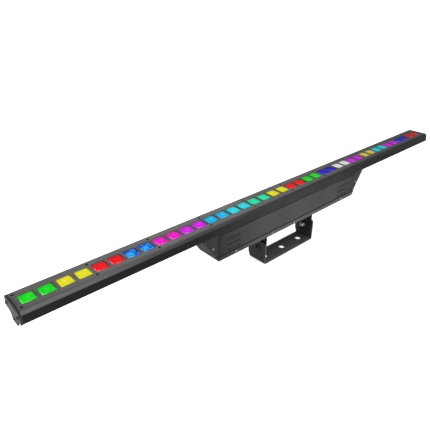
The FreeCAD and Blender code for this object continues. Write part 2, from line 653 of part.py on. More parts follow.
def socket_screws():
    screw = pan_screw(2.5, 1.2, 1.4, 6.0, 2.0)
    face = COVER_Y + FLANGE_T
    return group(moved(facing(screw, 1), x + s * SOCKET_SCREW_X, face, PANEL_Z + s * SOCKET_SCREW_Z)
                 for x in SOCKETS for s in ENDS)


# ---- the tilt joint and the bracket ----
def lug_screw_places():
    return [(s * LUG_SCREW_X, y) for s in ENDS for y in (-LUG_SCREW_Y, LUG_SCREW_Y)]


def lug(side):
    """An angle under the housing with a rounded ear that turns inside the bracket's arm."""
    top, h = HOUSE_BASE, LUG_HALF
    ear = prism_x([(-h, top), (h, top), (h, PIVOT_Z + 4), (h - 3, PIVOT_Z - 8), (8, PIVOT_Z - 16),
                   (-8, PIVOT_Z - 16), (3 - h, PIVOT_Z - 8), (-h, PIVOT_Z + 4)], LUG_IN, LUG_OUT)
    foot = block(LUG_FOOT_X, LUG_OUT, -h, h, top - LUG_T, top)
    angle = ear.fuse(foot).removeSplitter()
    inside = [e for e in angle.Edges if e.BoundBox.YLength > 30 and abs(e.BoundBox.XMax - LUG_IN) < 0.01
              and abs(e.BoundBox.ZMin - (top - LUG_T)) < 0.01]
    angle = angle.makeFillet(1.5, inside)
    corners = [e for e in angle.Edges if e.BoundBox.ZLength > LUG_T - 0.1
               and abs(e.BoundBox.XMax - LUG_FOOT_X) < 0.01]
    angle = angle.makeFillet(5.0, corners)
    angle = angle.cut(rod(LUG_BORE_R, V(LUG_IN - 1, 0, PIVOT_Z), X_AXIS, LUG_T + 2))
    for x, y in lug_screw_places():
        if x > 0:
            angle = angle.cut(rod(LUG_SCREW_BORE_R, V(x, y, top - 4), Z_AXIS, 6))
    return angle if side > 0 else mirror_x(angle)


def lug_screws():
    screw = pan_screw(4.0, 2.4, 2.0, 3.8, 3.2)
    screw.rotate(V(0, 0, 0), X_AXIS, 180)
    return group(moved(screw, x, y, HOUSE_BASE - LUG_T) for x, y in lug_screw_places())


def floor_bracket():
    """A U of folded sheet: a drilled base and two arms with chamfered rear corners."""
    t, r = BRACKET_T, BRACKET_BEND + BRACKET_T
    h = BRACKET_HALF
    strip = block(-h, h, -BASE_HALF, ARM_REAR, 0, ARM_TOP)
    hollow = block(-h + t, h - t, -BASE_HALF - 1, ARM_REAR + 1, t, ARM_TOP + 1)
    outer = [e for e in strip.Edges if e.BoundBox.YLength > 20 and e.BoundBox.ZMax < 0.1]
    inner = [e for e in hollow.Edges if e.BoundBox.YLength > 20 and e.BoundBox.ZMax < t + 0.1]
    shape = strip.makeFillet(r, outer).cut(hollow.makeFillet(BRACKET_BEND, inner))
    shape = shape.cut(prism_x([(BASE_HALF, -1), (BASE_HALF, 3.0), (ARM_REAR, 13.0), (ARM_REAR + 5, 13.0),
                               (ARM_REAR + 5, -1)], -h - 1, h + 1))
    tops = [e for e in shape.Edges if e.BoundBox.ZMin > ARM_TOP - 0.1 and e.BoundBox.XLength > t - 0.1
            and e.BoundBox.YLength < 0.1]
    shape = shape.makeFillet(7.0, tops)
    rims = [e for e in shape.Edges if e.BoundBox.XLength < t - 0.1 or e.BoundBox.XLength > t + 0.1]
    rims = [e for e in rims if abs(e.BoundBox.YMin + BASE_HALF) < 0.01 and e.BoundBox.YLength < 0.01]
    shape = shape.makeChamfer(0.35, rims)
    for k in (-1, 0, 1):
        shape = shape.cut(rod(HOLE_R, V(k * HOLE_PITCH, 0, -1), Z_AXIS, t + 2))
    return shape.cut(rod(BOLT_R + BOLT_FIT, V(-h - 1, 0, PIVOT_Z), X_AXIS, 2 * h + 2))


def washers(r_out, x0, x1):
    ring = rod(r_out, V(x0, 0, PIVOT_Z), X_AXIS, x1 - x0)
    ring = ring.cut(rod(BOLT_R + BOLT_FIT, V(x0 - 1, 0, PIVOT_Z), X_AXIS, x1 - x0 + 2))
    return group([ring, mirror_x(ring)])


def pivot_bolt(side):
    """A low button-head bolt through the arm and the ear."""
    h, tip = BRACKET_HALF + WASHER_T, NUT_OUT - NUT_SKIRT + 0.2
    ball_r = (HEAD_R ** 2 + HEAD_H ** 2) / (2 * HEAD_H)
    ball = Part.makeSphere(ball_r, V(h + HEAD_H - ball_r, 0, PIVOT_Z))
    head = ball.common(block(h, h + HEAD_H, -HEAD_R, HEAD_R, PIVOT_Z - HEAD_R, PIVOT_Z + HEAD_R))
    bolt = head.fuse(rod(BOLT_R, V(tip, 0, PIVOT_Z), X_AXIS, h - tip))
    bolt = bolt.cut(hexagon_x(4.0, h + HEAD_H - 2.0, PIVOT_Z, 4.0))
    return bolt if side > 0 else mirror_x(bolt)


def dome_nut(side):
    """A closed nut with a hexagon skirt and a rounded cap."""
    x = NUT_OUT - NUT_SKIRT
    skirt = hexagon_x(NUT_FLATS, x, PIVOT_Z, NUT_SKIRT)
    skirt = skirt.common(Part.makeCone(4.9, 6.8, NUT_SKIRT, V(x, 0, PIVOT_Z), X_AXIS))
    cap = Part.makeSphere(4.5, V(x, 0, PIVOT_Z))
    cap = cap.common(block(x - 5, x + 0.1, -5, 5, PIVOT_Z - 5, PIVOT_Z + 5))
    nut = skirt.fuse(cap).removeSplitter()
    nut = nut.cut(rod(BOLT_R + BOLT_FIT, V(x, 0, PIVOT_Z), X_AXIS, NUT_SKIRT + 1))
    return nut if side > 0 else mirror_x(nut)


def build():
    tile = lens()
    arm_in = BRACKET_HALF - BRACKET_T
    parts = {
        "bar_profile": bar_profile(),
        "bezel": bezel(),
        "cell_grid": cell_grid(),
        "led_boards": led_boards(),
        "led_emitters": led_emitters(),
        "board_links": board_links(),
        "bezel_screws": bezel_screws(),
        "end_plate_left": end_plate(-1),
        "end_plate_right": end_plate(1),
        "end_gaskets": end_gaskets(),
        "end_screws": end_screws(),
        "side_wall_front": side_wall(-1),
        "side_wall_rear": side_wall(1),
        "side_cover_front": side_cover(-1),
        "side_cover_rear": side_cover(1),
        "housing_end_left": housing_end(-1),
        "housing_end_right": housing_end(1),
        "bottom_cover": bottom_cover(),
        "lip_screws": group(wall_screws([(x, LIP_SCREW_Z, s) for x, s in LIP_SCREWS], WALL_Y + LIP_T)),
        "side_screws": group(wall_screws(SIDE_SCREWS, WALL_Y) + wall_screws(COVER_SCREWS, COVER_Y)),
        "housing_screws": housing_screws(),
        "power_supply": power_supply(),
        "driver_board": driver_board(),
        "control_board": control_board(),
        "display_module": display_module(),
        "display_window": display_window(),
        "power_inlet": power_socket(POWER_X[0], (0, 120, 240)),
        "power_outlet": power_socket(POWER_X[1], (60, 180, 300)),
        "data_inlet": data_inlet(DATA_X[0]),
        "data_outlet": data_outlet(DATA_X[1]),
        "data_pins": data_pins(),
        "socket_screws": socket_screws(),
        "lug_left": lug(-1),
        "lug_right": lug(1),
        "lug_screws": lug_screws(),
        "floor_bracket": floor_bracket(),
        "friction_washers": washers(FRICTION_R, arm_in - FRICTION_T, arm_in),
        "inner_washers": washers(INNER_R, NUT_OUT, NUT_OUT + WASHER_T),
        "outer_washers": washers(OUTER_R, BRACKET_HALF, BRACKET_HALF + WASHER_T),
        "pivot_bolt_left": pivot_bolt(-1),
        "pivot_bolt_right": pivot_bolt(1),
        "dome_nut_left": dome_nut(-1),
        "dome_nut_right": dome_nut(1),
    }
    for colour in sorted(set(CELL_COLOURS)):
        parts["lens_" + colour] = lenses(colour, tile)
    for i, x in enumerate(BUTTON_X):
        parts["button_%d" % (i + 1)] = button(x)
    return parts


os.makedirs("parts", exist_ok=True)
for node, shape in build().items():
    shape.exportStep("parts/%s.step" % node)
    solids = shape.Solids
    print("%-18s solids %2d  volume %10.1f  valid %s" % (node, len(solids), shape.Volume, shape.isValid()))
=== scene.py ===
import math

import bpy
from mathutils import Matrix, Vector


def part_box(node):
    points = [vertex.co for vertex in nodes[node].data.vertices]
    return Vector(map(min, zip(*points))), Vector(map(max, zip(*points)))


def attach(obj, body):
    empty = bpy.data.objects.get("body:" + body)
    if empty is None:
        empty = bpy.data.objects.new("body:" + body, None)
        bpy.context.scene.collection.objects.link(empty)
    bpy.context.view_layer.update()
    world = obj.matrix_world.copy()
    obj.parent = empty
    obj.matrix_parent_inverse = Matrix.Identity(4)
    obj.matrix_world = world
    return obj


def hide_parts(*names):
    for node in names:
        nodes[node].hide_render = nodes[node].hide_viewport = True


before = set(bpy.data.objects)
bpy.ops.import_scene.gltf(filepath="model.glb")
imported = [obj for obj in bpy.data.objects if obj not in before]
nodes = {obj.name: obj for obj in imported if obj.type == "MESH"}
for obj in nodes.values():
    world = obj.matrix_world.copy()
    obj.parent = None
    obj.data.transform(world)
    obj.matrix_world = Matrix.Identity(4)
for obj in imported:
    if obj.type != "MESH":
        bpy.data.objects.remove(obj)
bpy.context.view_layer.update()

MM = 0.001
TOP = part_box("bezel")[1].z                      # the lit face
LENS_TOP = TOP - 0.4 * MM
PITCH = 24.6 * MM
CELLS = 40
TILE_HALF = 9.67 * MM
TILE_CORNER = 1.05 * MM
SKIRT_DEPTH = 3.0 * MM                          # a lens's straight sides, below the lit face
FLANGE_DEPTH = 4.3 * MM                         # the underside of its flange
FLANGE_HALF = 11.3 * MM

PAIRS = ("green", "yellow", "red", "azure", "pink", "magenta", "sky", "cyan", "teal", "yellow",
         "red", "green", "blue", "white", "magenta", "amber", "cyan", "magenta", "blue", "red")

# the light of each colour: (deep, body, core), as display values
LIGHT = {
    "green": ((0.02, 0.42, 0.06), (0.09, 0.85, 0.13), (0.30, 1.0, 0.34)),
    "yellow": ((0.55, 0.50, 0.04), (0.89, 0.87, 0.12), (1.0, 0.98, 0.42)),
    "red": ((0.40, 0.01, 0.03), (0.92, 0.10, 0.13), (1.0, 0.24, 0.24)),
    "azure": ((0.02, 0.10, 0.50), (0.07, 0.33, 0.84), (0.22, 0.76, 1.0)),
    "pink": ((0.45, 0.03, 0.38), (0.93, 0.08, 0.77), (1.0, 0.30, 0.90)),
    "magenta": ((0.38, 0.05, 0.48), (0.83, 0.12, 0.89), (0.95, 0.36, 1.0)),
    "sky": ((0.02, 0.24, 0.55), (0.10, 0.68, 0.87), (0.28, 0.88, 1.0)),
    "cyan": ((0.03, 0.42, 0.52), (0.15, 0.84, 0.88), (0.42, 0.97, 1.0)),
    "teal": ((0.03, 0.42, 0.30), (0.15, 0.87, 0.65), (0.40, 1.0, 0.80)),
    "blue": ((0.05, 0.04, 0.36), (0.19, 0.14, 0.80), (0.26, 0.22, 0.92)),
    "white": ((0.50, 0.50, 0.53), (0.91, 0.91, 0.91), (1.0, 1.0, 1.0)),
    "amber": ((0.46, 0.36, 0.13), (0.88, 0.77, 0.34), (1.0, 0.92, 0.58)),
}


def linear(c):
    return tuple(v / 12.92 if v <= 0.04045 else ((v + 0.055) / 1.055) ** 2.4 for v in c)


def grey(v, tint=(1.0, 1.0, 1.0)):
    return tuple(a * b for a, b in zip(linear((v, v, v)), tint))


def shade(colour, factor, lift=0.0):
    return tuple(v * factor + lift for v in colour)


# ---- node helpers ----
class Tree:
    """A short way to write a material's node tree."""

    def __init__(self, name):
        self.material = bpy.data.materials.new(name)
        self.material.use_nodes = True
        self.tree = self.material.node_tree
        self.shader = self.tree.nodes["Principled BSDF"]
        self.coord = self.node("ShaderNodeTexCoord").outputs["Object"]

    def node(self, kind, inputs=None, **props):
        made = self.tree.nodes.new(kind)
        for key, value in props.items():
            setattr(made, key, value)
        for key, value in (inputs or {}).items():
            self.put(made.inputs[key], value)
        return made

    def put(self, socket, value):
        if isinstance(value, bpy.types.NodeSocket):
            self.tree.links.new(value, socket)
        elif isinstance(value, tuple) and len(value) == 3 and socket.type == "RGBA":
            socket.default_value = (*value, 1.0)
        else:
            socket.default_value = value

    def set(self, **inputs):
        for key, value in inputs.items():
            self.put(self.shader.inputs[key.replace("_", " ")], value)

    def math(self, operation, a, b=0.0):
        return self.node("ShaderNodeMath", {0: a, 1: b}, operation=operation).outputs[0]

    def product(self, a, b):
        return self.math("MULTIPLY", a, b)

    def mix(self, factor, a, b, blend="MIX"):
        made = self.node("ShaderNodeMix", data_type="RGBA", blend_type=blend)
        self.put(made.inputs[0], factor)
        self.put(made.inputs[6], a)
        self.put(made.inputs[7], b)
        return made.outputs[2]

    def noise(self, scale, detail=3.0, roughness=0.55, stretch=None, seed=0.0):
        vector = self.coord
        if stretch or seed:
            vector = self.node("ShaderNodeMapping", {"Vector": vector, "Location": (seed, seed, 0.0),
                                                     "Scale": stretch or (1, 1, 1)}).outputs[0]
        made = self.node("ShaderNodeTexNoise", {"Vector": vector, "Scale": scale, "Detail": detail,
                                                "Roughness": roughness})
        return made.outputs["Fac"]

    def remap(self, value, low, high, to_low=0.0, to_high=1.0):
        made = self.node("ShaderNodeMapRange", {0: value, 1: low, 2: high, 3: to_low, 4: to_high})
        return made.outputs[0]

    def along(self, x, stops):
        """A number that follows (position along the bar, value) stops."""
        low, high = stops[0][0], stops[-1][0]
        made = self.node("ShaderNodeValToRGB", {"Fac": self.remap(x, low, high)})
        elements = made.color_ramp.elements
        for i, (place, value) in enumerate(stops):
            at = (place - low) / (high - low)
            element = elements[i] if i < 2 else elements.new(at)
            element.position = at
            element.color = (value, value, value, 1.0)
        return self.node("ShaderNodeSeparateColor", {0: made.outputs[0]}).outputs[0]

    def scaled(self, colour, factor):
        made = self.node("ShaderNodeVectorMath", operation="SCALE")
        self.put(made.inputs[0], colour)
        self.put(made.inputs["Scale"], factor)
        return made.outputs[0]

    def bump(self, height, distance, strength=1.0, normal=None):
        inputs = {"Height": height, "Distance": distance, "Strength": strength}
        if normal is not None:
            inputs["Normal"] = normal
        return self.node("ShaderNodeBump", inputs).outputs[0]

    def xyz(self):
        return self.node("ShaderNodeSeparateXYZ", {0: self.coord}).outputs


def powder(name, tone, rough=0.58, level=0.15, grain=1.0, tint=(1.02, 0.98, 1.0), relief=None):
    """Powder coat: a fine pebbled skin with faint rubs, dust and worn-bright high spots."""
    t = Tree(name)
    pebble = t.noise(2100, 2.0, 0.6)
    peel = t.noise(430, 2.0, 0.5, seed=3.1)
    cloud = t.noise(16, 4.0, 0.6, seed=7.7)
    rub = t.noise(90, 5.0, 0.7, stretch=(0.12, 1.0, 1.0), seed=1.3)
    base = grey(tone, tint)
    colour = t.mix(t.remap(cloud, 0.3, 0.7), shade(base, 0.82), shade(base, 1.20))
    colour = t.mix(t.remap(pebble, 0.62, 0.74, 0.0, 0.28 * grain), colour, shade(base, 1.9, 0.003))
    colour = t.mix(t.remap(rub, 0.60, 0.78, 0.0, 0.22), colour, shade(base, 1.5, 0.004))
    # relief, where given, paints light and shade into the colour by place
    if relief:
        colour = relief(t, colour)
    roughness = t.math("ADD", t.remap(rub, 0.35, 0.75, rough - 0.07, rough + 0.08),
                       t.remap(cloud, 0.3, 0.7, -0.03, 0.03))
    normal = t.bump(pebble, 0.00005 * grain, 0.55)
    t.set(Base_Color=colour, Roughness=roughness, Normal=t.bump(peel, 0.00012, 0.35, normal),
          Specular_IOR_Level=level)
    return t.material


# Tone by place along the bar, as (x, tone). These are tuned so that the render from the main
# camera has the right brightness. They aren't wear: they hold some of the light's fall-off, and look
# uneven in other light.
BEVEL_TONE = ((-0.47, 0.150), (-0.40, 0.139), (-0.35, 0.106), (-0.30, 0.072), (-0.24, 0.050), (-0.18, 0.044),
              (-0.12, 0.029), (0.0, 0.025), (0.18, 0.020), (0.30, 0.025), (0.45, 0.029))
SIDE_TONE = ((-0.47, 0.48), (-0.40, 0.46), (-0.30, 0.30), (-0.22, 0.27), (-0.12, 0.66), (0.0, 0.76),
             (0.12, 0.68), (0.19, 0.38), (0.24, 0.22), (0.32, 0.22), (0.45, 0.40))
FLAT_TONE = ((-0.47, 0.115), (-0.25, 0.120), (-0.10, 0.098), (0.0, 0.088), (0.12, 0.066), (0.25, 0.048),
             (0.45, 0.043))
COVER_TONE = ((-0.20, 0.36), (-0.17, 0.50), (-0.15, 0.64), (-0.09, 0.86), (0.11, 0.84), (0.16, 0.60),
              (0.20, 0.40))
BEZEL_TONE = ((-0.48, 0.86), (-0.40, 0.98), (-0.25, 1.0), (-0.17, 0.97), (-0.08, 0.88), (0.0, 0.78),
              (0.10, 0.66), (0.25, 0.54), (0.45, 0.52))


def bar_painted_light(t, colour):
    """The bar's coat, with painted light and shade along the bar on the sides, the bevels and the flats."""
    x, _, z = t.xyz()
    side = t.scaled(colour, t.math("MULTIPLY", t.along(x, SIDE_TONE), 2.0))
    bevel = t.scaled((1.02, 0.99, 1.0), t.along(x, BEVEL_TONE))
    flat = t.scaled((1.02, 0.99, 1.0), t.along(x, FLAT_TONE))
    upper = t.mix(t.remap(z, TOP - 0.9 * MM, TOP - 0.2 * MM), bevel, flat)
    return t.mix(t.remap(z, TOP - 5.6 * MM, TOP - 4.4 * MM), side, upper)


def cover_painted_light(t, colour):
    """The covers' coat, with painted light along the bar, palest in the middle."""
    return t.scaled(colour, t.along(t.xyz()[0], COVER_TONE))


def vent_painted_light(t, colour):
    """The wall is set paler behind the vent slots, as painted light over the shade there, so that they stand
    out less.
    """
    x, _, z = t.xyz()
    reach = t.math("ABSOLUTE", x)
    across = t.product(t.remap(reach, 0.128, 0.130), t.remap(reach, 0.178, 0.176))
    below = t.remap(z, TOP - 29.5 * MM, TOP - 30.5 * MM)
    above = t.remap(z, TOP - 57.0 * MM, TOP - 56.0 * MM)
    return t.scaled(colour, t.math("ADD", t.product(t.product(across, t.product(below, above)), 1.6), 1.0))


def lip_painted_shade(t, colour):
    """The tray's lips are set darker at the green end and along their upper edge, as painted shade."""
    x, _, z = t.xyz()
    along = t.mix(t.remap(x, -0.19, -0.10), grey(0.06), colour)
    return t.scaled(along, t.remap(z, TOP - 59.0 * MM, TOP - 62.5 * MM, 0.40, 1.0))


def bracket_painted_light(t, colour):
    """The base is set paler towards the front, as painted light, and the front edges paler still, as a
    painted highlight.
    """
    x, y, z = t.xyz()
    paler = t.scaled((1.01, 1.0, 1.0), t.remap(y, 12 * MM, -19 * MM, 0.045, 0.105))
    between_arms = t.remap(t.math("ABSOLUTE", x), 0.0685, 0.0675)
    on_base = t.product(t.remap(z, 2.6 * MM, 2.2 * MM), between_arms)
    colour = t.mix(t.product(on_base, 0.85), colour, paler)
    return t.mix(t.remap(y, -19.1 * MM, -19.35 * MM, 0.0, 0.9), colour, grey(0.34))


def screw_painted_shade(t, colour):
    """Each screw's brightness goes by its place, as painted shade: dark on the covers, and dull furthest
    out.
    """
    reach = t.math("ABSOLUTE", t.xyz()[0])
    outside = t.remap(reach, 0.190, 0.192)
    dull = t.remap(reach, 0.208, 0.210, 1.0, 0.30)
    return t.scaled(colour, t.product(t.math("ADD", t.product(outside, 0.91), 0.09), dull))


def metal(name, tone, rough=0.3, grain_axis=(0.06, 1.0, 1.0), tint=(1.0, 1.0, 1.0), dull=0.0, relief=None):
    """Plated or plain metal with a drawn grain and faint tarnish."""
    t = Tree(name)
    grain = t.noise(1500, 4.0, 0.65, stretch=grain_axis)
    tarnish = t.noise(210, 4.0, 0.6, seed=2.2)
    base = grey(tone, tint)
    colour = t.mix(t.remap(tarnish, 0.42, 0.72, 0.0, 0.55), base, tuple(v * 0.62 for v in base))
    # relief, where given, paints shade into the colour by place
    if relief:
        colour = relief(t, colour)
    roughness = t.math("ADD", t.remap(grain, 0.3, 0.7, rough - 0.08, rough + 0.10),
                       t.remap(tarnish, 0.4, 0.7, 0.0, 0.12))
    t.set(Base_Color=colour, Roughness=roughness, Metallic=1.0 - dull,
          Normal=t.bump(grain, 0.00003, 0.5))
    return t.material


def plastic(name, colour, rough=0.4, grain=900, depth=0.00003, level=0.5, coat=0.0):
    """Moulded plastic with a fine spark-eroded texture and small shifts of tone."""
    t = Tree(name)
    skin = t.noise(grain, 3.0, 0.6)
    cloud = t.noise(60, 3.0, 0.6, seed=4.0)
    base = linear(colour)
    shade = t.mix(t.remap(cloud, 0.3, 0.7), tuple(v * 0.86 for v in base),
                  tuple(v * 1.10 for v in base))
    shade = t.mix(t.remap(skin, 0.60, 0.76, 0.0, 0.25), shade, tuple(v * 1.35 + 0.003 for v in base))
    t.set(Base_Color=shade, Roughness=t.remap(cloud, 0.3, 0.7, rough - 0.05, rough + 0.06),
          Normal=t.bump(skin, depth, 0.5), Specular_IOR_Level=level, Coat_Weight=coat)
    return t.material


def cell_position(t):
    """Distance in millimetres from the middle of the nearest cell, along the bar and across it."""
    x, y, z = t.xyz()
    along = t.math("DIVIDE", t.math("ADD", x, PITCH * CELLS), PITCH)
    local = t.math("MULTIPLY", t.math("SUBTRACT", t.math("FRACT", along), 0.5), PITCH / MM)
    return local, t.math("DIVIDE", y, MM), z


def square_distance(t, u, v, power=4.0):
    """How far out a point is from a cell's middle, in a rounded square sense, in millimetres."""
    a = t.math("POWER", t.math("ABSOLUTE", u), power)
    b = t.math("POWER", t.math("ABSOLUTE", v), power)
    return t.math("POWER", t.math("ADD", a, b), 1.0 / power)


def light_tile(colour):
    """A glowing lens: a paler middle, far rims in painted shade, near rims with painted glints, and a
    faceted pattern, tuned per colour.
    """
    deep, body, core = (linear(c) for c in LIGHT[colour])
    t = Tree("mat_tile_" + colour)
    u, v, z = cell_position(t)
    out = square_distance(t, u, v, 6.0)
    rim = t.remap(out, 8.0, 8.7)
    lean = t.math("ADD", u, v)
    round_ = t.math("SQRT", t.math("ADD", t.math("MULTIPLY", u, u), t.math("MULTIPLY", v, v)))
    cracks = t.node("ShaderNodeTexVoronoi", {"Vector": t.coord, "Scale": 420.0, "Randomness": 0.9},
                    feature="F1").outputs["Color"]
    facet = t.node("ShaderNodeSeparateColor", {0: cracks}).outputs[0]
    haze = t.noise(260, 3.0, 0.6)
    lively = 1.0 if colour == "azure" else 0.30
    shade = t.mix(t.remap(facet, 0.45, 0.0, 0.0, 0.75 * lively), body, deep)
    shade = t.mix(t.math("MULTIPLY", t.remap(facet, 0.62, 1.0), 0.85 * lively), shade, core)
    centre = 0.45 if colour == "sky" else 0.20
    shade = t.mix(t.math("MULTIPLY", t.remap(round_, 5.5, 1.0), centre), shade, core)
    if colour == "azure":
        spot_u, spot_v = t.math("ADD", u, 3.0), t.math("ADD", v, 2.5)
        spot = t.math("SQRT", t.math("ADD", t.product(spot_u, spot_u), t.product(spot_v, spot_v)))
        shade = t.mix(t.math("MULTIPLY", t.remap(spot, 7.0, 1.5), 0.75), shade, core)
    shade = t.mix(t.remap(haze, 0.56, 0.72, 0.0, 0.10), shade, core)
    # painted shade: the rims on the far (+x, +y) side of each lens are darkened
    far_rim_shade = t.math("MULTIPLY", rim, t.remap(lean, 0.0, 7.0, 0.35, 1.0))
    shade = t.mix(far_rim_shade, shade, tuple(v * 0.28 for v in deep))
    # painted glints: pale flecks on the rims on the near (-x, -y) side of each lens
    glint = t.noise(340, 2.0, 0.5, seed=6.4)
    near = t.product(t.product(rim, t.remap(lean, -5.0, -11.0)), t.remap(glint, 0.40, 0.62))
    shade = t.mix(near, shade, tuple(0.45 * c + 0.4 for c in core))
    shade = t.mix(t.remap(z, LENS_TOP - 1.2 * MM, LENS_TOP - 0.7 * MM, 0.85, 0.0), shade, deep)
    # the lenses are set dimmer towards the red end
    dimmer = t.remap(t.xyz()[0], -0.15, 0.45, 1.0, 0.66)
    t.set(Base_Color=tuple(v * 0.03 for v in body), Emission_Color=shade, Emission_Strength=dimmer,
          Roughness=t.remap(haze, 0.3, 0.7, 0.34, 0.50), Specular_IOR_Level=0.02,
          Normal=t.bump(haze, 0.00008, 0.35), Coat_Weight=t.math("MULTIPLY", rim, 0.45),
          Coat_Roughness=0.09)
    return t.material


def bezel_coat():
    """The front plate's coat, with painted light and shade along the bar, painted shade round and between
    its windows, and each pixel's colour painted as a faint glow round its window.
    """
    t = Tree("mat_bezel")
    pebble = t.noise(2100, 2.0, 0.6)
    peel = t.noise(430, 2.0, 0.5, seed=3.1)
    cloud = t.noise(13, 4.0, 0.6, seed=5.7)
    rub = t.noise(80, 5.0, 0.7, stretch=(0.10, 1.0, 1.0), seed=9.3)
    x = t.xyz()[0]
    base = grey(0.418, (1.02, 0.99, 0.99))
    colour = t.mix(t.remap(cloud, 0.3, 0.7), shade(base, 0.86), shade(base, 1.14))
    colour = t.mix(t.remap(pebble, 0.62, 0.74, 0.0, 0.22), colour, shade(base, 1.6))
    colour = t.mix(t.remap(rub, 0.60, 0.80, 0.0, 0.25), colour, shade(base, 1.5))
    # painted light and shade along the bar, by BEZEL_TONE
    colour = t.scaled(colour, t.along(x, BEZEL_TONE))
    place = t.math("ADD", t.math("DIVIDE", x, PITCH * CELLS), 0.5)
    ramp = t.node("ShaderNodeValToRGB", {"Fac": place})
    ramp.color_ramp.interpolation = "CONSTANT"
    stops = ramp.color_ramp.elements
    for i, name in enumerate(PAIRS):
        at = i / len(PAIRS)
        stop = stops[i] if i < 2 else stops.new(at)
        stop.position = at
        stop.color = (*linear(LIGHT[name][1]), 1.0)
    u, v, z = cell_position(t)
    near = t.remap(square_distance(t, u, v, 6.0), 12.6, 9.9)
    on_row = t.remap(t.math("ABSOLUTE", x), PITCH * CELLS / 2 + MM, PITCH * CELLS / 2)
    wall = t.remap(z, TOP - 0.5 * MM, TOP - 0.2 * MM, 0.30, 0.07)
    glow = t.math("MULTIPLY", t.math("MULTIPLY", t.math("POWER", near, 1.6), on_row), wall)
    # painted shade: the plate is darker close round each window and down its walls
    colour = t.mix(t.product(near, 0.50), colour, shade(base, 0.28))
    # painted shade between the windows of the row, deeper towards the red end, with a faint painted glow
    # there
    in_row = t.math("MULTIPLY", t.remap(t.math("ABSOLUTE", v), 10.6, 9.5), on_row)
    shaded = t.math("MULTIPLY", in_row, t.remap(x, -0.35, -0.10, 0.10, 0.90))
    colour = t.mix(shaded, colour, shade(base, 0.22))
    glow = t.math("MAXIMUM", glow, t.math("MULTIPLY", shaded, 0.07))
    t.set(Base_Color=colour, Roughness=t.remap(rub, 0.35, 0.75, 0.50, 0.66), Specular_IOR_Level=0.22,
          Normal=t.bump(peel, 0.00012, 0.35, t.bump(pebble, 0.00005, 0.55)),
          Emission_Color=t.mix(glow, (0.0, 0.0, 0.0), ramp.outputs[0]), Emission_Strength=1.0)
    return t.material


def board(name, colour, line):
    """A circuit board's solder mask, with a brick pattern in place of its tracks."""
    t = Tree(name)
    tracks = t.node("ShaderNodeTexBrick", {"Vector": t.coord, "Scale": 260.0, "Mortar Size": 0.06,
                                           "Color1": linear(colour), "Color2": linear(colour),
                                           "Mortar": linear(line)}).outputs[0]
    haze = t.noise(300, 3.0, 0.6)
    t.set(Base_Color=t.mix(t.remap(haze, 0.4, 0.7, 0.0, 0.3), tracks, shade(linear(colour), 0.7)),
          Roughness=t.remap(haze, 0.3, 0.7, 0.28, 0.42), Normal=t.bump(haze, 0.00002, 0.4))
    return t.material


def smoked(name):
    """The display's dark window, partly see-through."""
    t = Tree(name)
    smear = t.noise(120, 4.0, 0.7, stretch=(0.3, 1.0, 1.0))
    t.set(Base_Color=t.mix(t.remap(smear, 0.4, 0.7), (0.010, 0.010, 0.012), (0.016, 0.016, 0.019)),
          Roughness=t.remap(smear, 0.4, 0.75, 0.10, 0.22), Alpha=0.70, Coat_Weight=0.4,
          Coat_Roughness=0.06)
    return t.material


MATERIALS = {
    "extrusion": powder("mat_extrusion", 0.125, rough=0.62, level=0.10, relief=bar_painted_light),
    "end_plate": powder("mat_end_plate", 0.205, rough=0.55, level=0.20),
    "housing": powder("mat_housing", 0.225, rough=0.58, level=0.12, relief=cover_painted_light),
    "housing_wall": powder("mat_housing_wall", 0.165, rough=0.60, level=0.12, relief=vent_painted_light),
    # the inclines are the housing's coat set darker, as painted shade on faces turned down and away
    "incline": powder("mat_incline", 0.085, rough=0.60, level=0.06),
    "tray": powder("mat_tray", 0.240, rough=0.55, level=0.2, relief=lip_painted_shade),
    "bracket": powder("mat_bracket", 0.185, rough=0.62, level=0.12, grain=1.3, relief=bracket_painted_light),
    "lug": powder("mat_lug", 0.09, rough=0.62, level=0.10, grain=1.3),
    "bezel": bezel_coat(),
    "black_screw": metal("mat_black_screw", 0.20, rough=0.40, dull=0.2),
    "bright_screw": metal("mat_bright_screw", 0.50, rough=0.36),
    "side_screw": metal("mat_side_screw", 0.55, rough=0.36, relief=screw_painted_shade),
    "dark_bolt": metal("mat_dark_bolt", 0.10, rough=0.50, dull=0.5),
    "zinc": metal("mat_zinc", 0.50, rough=0.36, tint=(1.0, 0.99, 0.97)),
    "rubber": plastic("mat_rubber", (0.06, 0.06, 0.06), rough=0.75, grain=500, depth=0.00008, level=0.25),
    "black_plastic": plastic("mat_black_plastic", (0.07, 0.07, 0.075), rough=0.5),
    "socket_black": plastic("mat_socket_black", (0.10, 0.10, 0.105), rough=0.36, coat=0.1),
    "socket_blue": plastic("mat_socket_blue", (0.05, 0.26, 0.66), rough=0.34, coat=0.15),
    "socket_grey": plastic("mat_socket_grey", (0.70, 0.70, 0.69), rough=0.36, coat=0.15),
    "button": plastic("mat_button", (0.13, 0.13, 0.135), rough=0.42, grain=1400),
    "nylon": plastic("mat_nylon", (0.86, 0.84, 0.78), rough=0.45),
    "board_white": board("mat_board_white", (0.90, 0.90, 0.88), (0.74, 0.74, 0.70)),
    "board_green": board("mat_board_green", (0.05, 0.32, 0.14), (0.12, 0.45, 0.22)),
    "emitter": plastic("mat_emitter", (0.93, 0.88, 0.62), rough=0.2, coat=0.5),
    "cage": metal("mat_cage", 0.74, rough=0.38),
    "display": plastic("mat_display", (0.05, 0.05, 0.055), rough=0.3, coat=0.2),
    "smoked": smoked("mat_smoked"),
    "brass": metal("mat_brass", 0.78, rough=0.24, tint=(1.0, 0.80, 0.45)),
}
for light_name in LIGHT:
    MATERIALS["tile_" + light_name] = light_tile(light_name)

